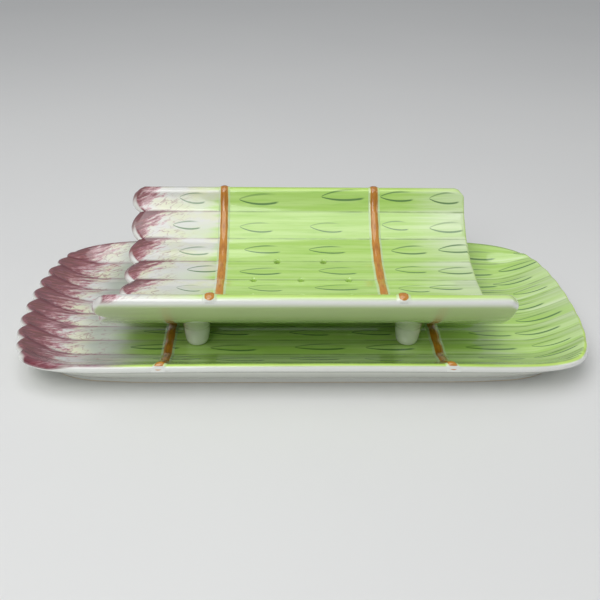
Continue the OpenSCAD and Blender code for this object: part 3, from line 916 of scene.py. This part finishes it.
def spear_look(piece):
    """Places of the paint in metres from the tips, strengths as shares, and marks by start and size in mm."""
    if piece == "platter":
        return {
            "count": 10, "roll": 0.54, "pitch": 17.5 * MM,
            "plum": 33 * MM, "lean": 0.25, "bare": -3 * MM, "bare_lean": 0.2, "grey_wash_and_shade": 0.9,
            "green": 74 * MM, "blend": 16 * MM, "pale_from": 350 * MM, "pale_to": 392 * MM, "pale": 0.55,
            "lip": 0.24, "tip_lip": 0.3, "pool_and_highlight": 0.8, "warm": 0.15, "tip_valley_shade": 0.4,
            "soft": 0.08, "under": 0.15,
            "marks": [(78, 30), (125, 30), (176, 32), (228, 30), (306, 34), (348, 30)],
        }
    return {
        "count": 9, "roll": 0.56, "pitch": 23.8 * MM,
        "plum": 23 * MM, "lean": 0.8, "bare": 2.9 * MM, "bare_lean": 1.2, "grey_wash_and_shade": 0.1,
        "green": 71 * MM, "blend": 7 * MM, "pale_from": 205 * MM, "pale_to": 262 * MM, "pale": 0.85,
        "lip": 0.56, "tip_lip": 0.16, "pool_and_highlight": 0.4, "warm": 0.5, "tip_valley_shade": 0.7, "soft": 0.14, "under": 1.0,
        "marks": [(40, 22), (88, 28), (142, 30), (196, 26), (231, 24)],
    }


def shell_glaze(name, paint, piece):
    """The spears' paint under clear glaze."""
    tree = GlazeTree(name)
    return tree.glazed(spear_paint(tree, paint, spear_look(piece)))


def tie_glaze(name, paint, piece):
    """The spears' own paint on the borders, and streaky brown on the cord."""
    tree = GlazeTree(name)
    ground = spear_paint(tree, paint, spear_look(piece))
    ground = tree.mix(0.3, ground, paint.white)
    off_middle, at_end, spears = tree.parts("cord")
    wobble = tree.noise(tree.point(spears * 1.3, off_middle * 0.3, 7.0), 1.0, 2.0)
    dabs = tree.noise(tree.point(spears * 2.2, off_middle * 0.9, 2.0), 1.0, 3.0, 0.6)
    brown = tree.mix(tree.step(dabs, 0.42, 0.66) * 0.7, paint.tie, paint.tie_dark)
    from_middle = (off_middle * off_middle + at_end * at_end) ** 0.5
    covered = tree.step(from_middle + (wobble - 0.5) * 0.45, 1.22, 1.08)
    return tree.glazed(tree.mix(covered, ground, brown))


def white_glaze(name, paint):
    """Cream white glaze that greys a little where it pools."""
    tree = GlazeTree(name)
    where = tree.node("TexCoord", None, None, "Object")
    pooled = tree.noise(where, 28.0, 3.0)
    return tree.glazed(tree.mix(tree.step(pooled, 0.4, 0.7) * 0.5, paint.white, paint.pooled_white))


def ring_glaze(name, paint):
    """White glaze wiped off the bearing face, where the ground clay shows."""
    tree = GlazeTree(name)
    where = tree.node("TexCoord", None, None, "Object")
    grain = tree.noise(where, 900.0, 4.0, 0.7)
    height = tree.node("SeparateXYZ", None, {0: where}, 2)
    bare = tree.step(height + (grain - 0.5) * (0.6 * MM), 0.9 * MM, 0.4 * MM)
    clay = tree.mix(tree.step(grain, 0.35, 0.7), paint.clay, paint.clay_dark)
    bump = tree.node("Bump", None, {"Strength": 0.35, "Distance": 0.4 * MM, "Height": grain * bare})
    shader = tree.node("BsdfPrincipled", None, {
        "Base Color": tree.mix(bare, paint.white, clay), "Roughness": GLAZE_ROUGHNESS + bare * 0.62,
        "Coat Weight": 1 - bare, "Coat Roughness": COAT_ROUGHNESS, "Normal": bump,
    })
    tree.node("OutputMaterial", None, {"Surface": shader})
    return tree.material


# Operators

FLOOR_RADIUS = 6
# Name, place, aim, size and power of each soft lamp
LAMPS = (
    ("soft_top", (-0.2, -0.15, 1.1), (0, 0, 0), 1.0, 5),
    ("soft_front", (-0.5, -1.0, 1.1), (0, 0, 0.03), 0.9, 7),
    ("soft_right", (1.1, -0.2, 0.6), (0, 0, 0.03), 0.5, 1),
)
SKY_COLOUR = (0.85, 0.87, 0.9, 1)
# Strength of the sky at the horizon and overhead
SKY_LOW = 0.16
SKY_HIGH = 0.56
# The camera's place, its dip, turn and roll in radians, and its sensor and lens in millimetres
CAMERA_PLACE = (-0.0207, -0.5257, 0.3183)
CAMERA_ANGLES = (0.5147, 0.03622, 0.01912)
SENSOR = 36
LENS = 49.8


def add_shell(scene, name, model):
    """Models and glazes the shell of the platter or the cradle."""
    piece = model(getattr(scene, "asparagus_" + name))
    glaze = shell_glaze(name + " paint", scene.asparagus_paint, name)
    finish_piece(piece, glaze, name, name + "_glaze", name)
    return {"FINISHED"}


def add_ties(scene, name, model):
    """Models and glazes the two ties of the platter or the cradle."""
    glaze = tie_glaze(name + " tie paint", scene.asparagus_paint, name)
    for side, place in ((-1, "left"), (1, "right")):
        piece = model(side, getattr(scene, "asparagus_" + name), scene.asparagus_tie)
        shade(piece, SMOOTH_UNDER)
        finish_piece(piece, glaze, name, "tie_glaze", name + "_tie_" + place)
    return {"FINISHED"}


class PlatterShell(bpy.types.Operator):
    """Model the dished platter with its spears, rounded rim and outer wall"""

    bl_idname = "asparagus.platter_shell"
    bl_label = "Platter Shell"

    def execute(self, context):
        return add_shell(context.scene, "platter", platter_shell)


class PlatterTies(bpy.types.Operator):
    """Model the two raised ties across the platter"""

    bl_idname = "asparagus.platter_ties"
    bl_label = "Platter Ties"

    def execute(self, context):
        return add_ties(context.scene, "platter", platter_tie)


class PlatterFootRing(bpy.types.Operator):
    """Finish the ring that the platter stands on"""

    bl_idname = "asparagus.platter_foot_ring"
    bl_label = "Platter Foot Ring"

    def execute(self, context):
        glaze = ring_glaze("foot ring clay", context.scene.asparagus_paint)
        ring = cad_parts["platter_foot_ring"]
        for held in ring.material_slots:
            held.material = glaze
        return {"FINISHED"}


class CradleShell(bpy.types.Operator):
    """Model the trough with its rounded tips, rims and drain holes"""

    bl_idname = "asparagus.cradle_shell"
    bl_label = "Cradle Shell"

    def execute(self, context):
        return add_shell(context.scene, "cradle", cradle_shell)


class CradleTies(bpy.types.Operator):
    """Model the two raised ties across the cradle"""

    bl_idname = "asparagus.cradle_ties"
    bl_label = "Cradle Ties"

    def execute(self, context):
        return add_ties(context.scene, "cradle", cradle_tie)


class CradleFeet(bpy.types.Operator):
    """Model the four feet of the cradle"""

    bl_idname = "asparagus.cradle_feet"
    bl_label = "Cradle Feet"

    def execute(self, context):
        settings = context.scene
        glaze = white_glaze("foot glaze", settings.asparagus_paint)
        for place_y, side_y in (("front", -1), ("back", 1)):
            for place_x, side_x in (("left", -1), ("right", 1)):
                place = place_y + "_" + place_x
                piece = foot("foot_" + place, side_x, side_y, settings.asparagus_cradle)
                finish_piece(piece, glaze, "cradle", "foot_glaze", "cradle_foot_" + place)
        return {"FINISHED"}


class Studio(bpy.types.Operator):
    """Set up the floor, the lamps and the camera"""

    bl_idname = "asparagus.studio"
    bl_label = "Studio"

    def execute(self, context):
        clear_selection()
        bpy.ops.mesh.primitive_circle_add(vertices=96, radius=FLOOR_RADIUS, fill_type="NGON")
        floor = bpy.context.object
        floor.name = "studio_floor"
        tree = GlazeTree("studio floor")
        where = tree.node("TexCoord", None, None, "Object")
        paint = context.scene.asparagus_paint
        paper = tree.mix(tree.noise(where, 3.0), paint.floor, paint.floor_shade)
        shader = tree.node("BsdfPrincipled", None, {"Base Color": paper, "Roughness": 0.8})
        tree.node("OutputMaterial", None, {"Surface": shader})
        floor.data.materials.append(tree.material)

        for lamp in LAMPS:
            self.lamp(*lamp)
        self.sky(context)
        self.camera(context)
        return {"FINISHED"}

    def sky(self, context):
        """Lights the room most from overhead and least from the horizon."""
        world = context.scene.world or bpy.data.worlds.new("studio")
        context.scene.world = world
        world.use_nodes = True
        nodes, links = world.node_tree.nodes, world.node_tree.links
        background = nodes["Background"]
        background.inputs["Color"].default_value = SKY_COLOUR
        way = nodes.new("ShaderNodeTexCoord")
        parts = nodes.new("ShaderNodeSeparateXYZ")
        strength = nodes.new("ShaderNodeMapRange")
        strength.inputs["To Min"].default_value = SKY_LOW
        strength.inputs["To Max"].default_value = SKY_HIGH
        links.new(way.outputs["Generated"], parts.inputs["Vector"])
        links.new(parts.outputs["Z"], strength.inputs["Value"])
        links.new(strength.outputs["Result"], background.inputs["Strength"])

    def lamp(self, name, place, target, size, power):
        """Adds a square soft lamp that faces a point."""
        bpy.ops.object.light_add(type="AREA", location=place)
        lamp = bpy.context.object
        lamp.name = name
        lamp.data.size = size
        lamp.data.energy = power
        lamp.rotation_euler = (Vector(target) - Vector(place)).to_track_quat("-Z", "Y").to_euler()

    def camera(self, context):
        """Adds the camera at the photograph's angle."""
        dip, turn, roll = CAMERA_ANGLES
        ahead = Vector((math.sin(turn) * math.cos(dip), math.cos(turn) * math.cos(dip), -math.sin(dip)))
        level = Vector((math.cos(turn), -math.sin(turn), 0))
        up = level.cross(ahead)
        right = math.cos(roll) * level + math.sin(roll) * up
        top = math.cos(roll) * up - math.sin(roll) * level
        bpy.ops.object.camera_add()
        camera = bpy.context.object
        camera.name = "photo_camera"
        camera.data.sensor_width = SENSOR
        camera.data.lens = LENS
        axes = Matrix((right, top, -ahead)).transposed().to_4x4()
        camera.matrix_world = Matrix.Translation(CAMERA_PLACE) @ axes
        context.scene.camera = camera


OPERATORS = (PlatterShell, PlatterTies, PlatterFootRing, CradleShell, CradleTies, CradleFeet, Studio)


class AsparagusPanel(bpy.types.Panel):
    """Lists the pieces of the platter"""

    bl_idname = "VIEW3D_PT_asparagus_platter"
    bl_label = "Asparagus Platter"
    bl_space_type = "VIEW_3D"
    bl_region_type = "UI"
    bl_category = "Asparagus Platter"

    def draw(self, context):
        for operator in OPERATORS:
            self.layout.operator(operator.bl_idname)


CLASSES = (PlatterSizes, CradleSizes, TieSizes, PaintColours, *OPERATORS, AsparagusPanel)
SETTINGS = {
    "asparagus_platter": PlatterSizes,
    "asparagus_cradle": CradleSizes,
    "asparagus_tie": TieSizes,
    "asparagus_paint": PaintColours,
}


def register():
    for item in CLASSES:
        bpy.utils.register_class(item)
    for name, group in SETTINGS.items():
        setattr(bpy.types.Scene, name, PointerProperty(type=group))


def unregister():
    for name in SETTINGS:
        delattr(bpy.types.Scene, name)
    for item in reversed(CLASSES):
        bpy.utils.unregister_class(item)


def main():
    register()
    bpy.context.scene.view_settings.view_transform = "Standard"
    bpy.ops.asparagus.studio()
    bpy.ops.asparagus.platter_shell()
    bpy.ops.asparagus.platter_ties()
    bpy.ops.asparagus.platter_foot_ring()
    bpy.ops.asparagus.cradle_shell()
    bpy.ops.asparagus.cradle_ties()
    bpy.ops.asparagus.cradle_feet()


if __name__ == "__main__":
    main()
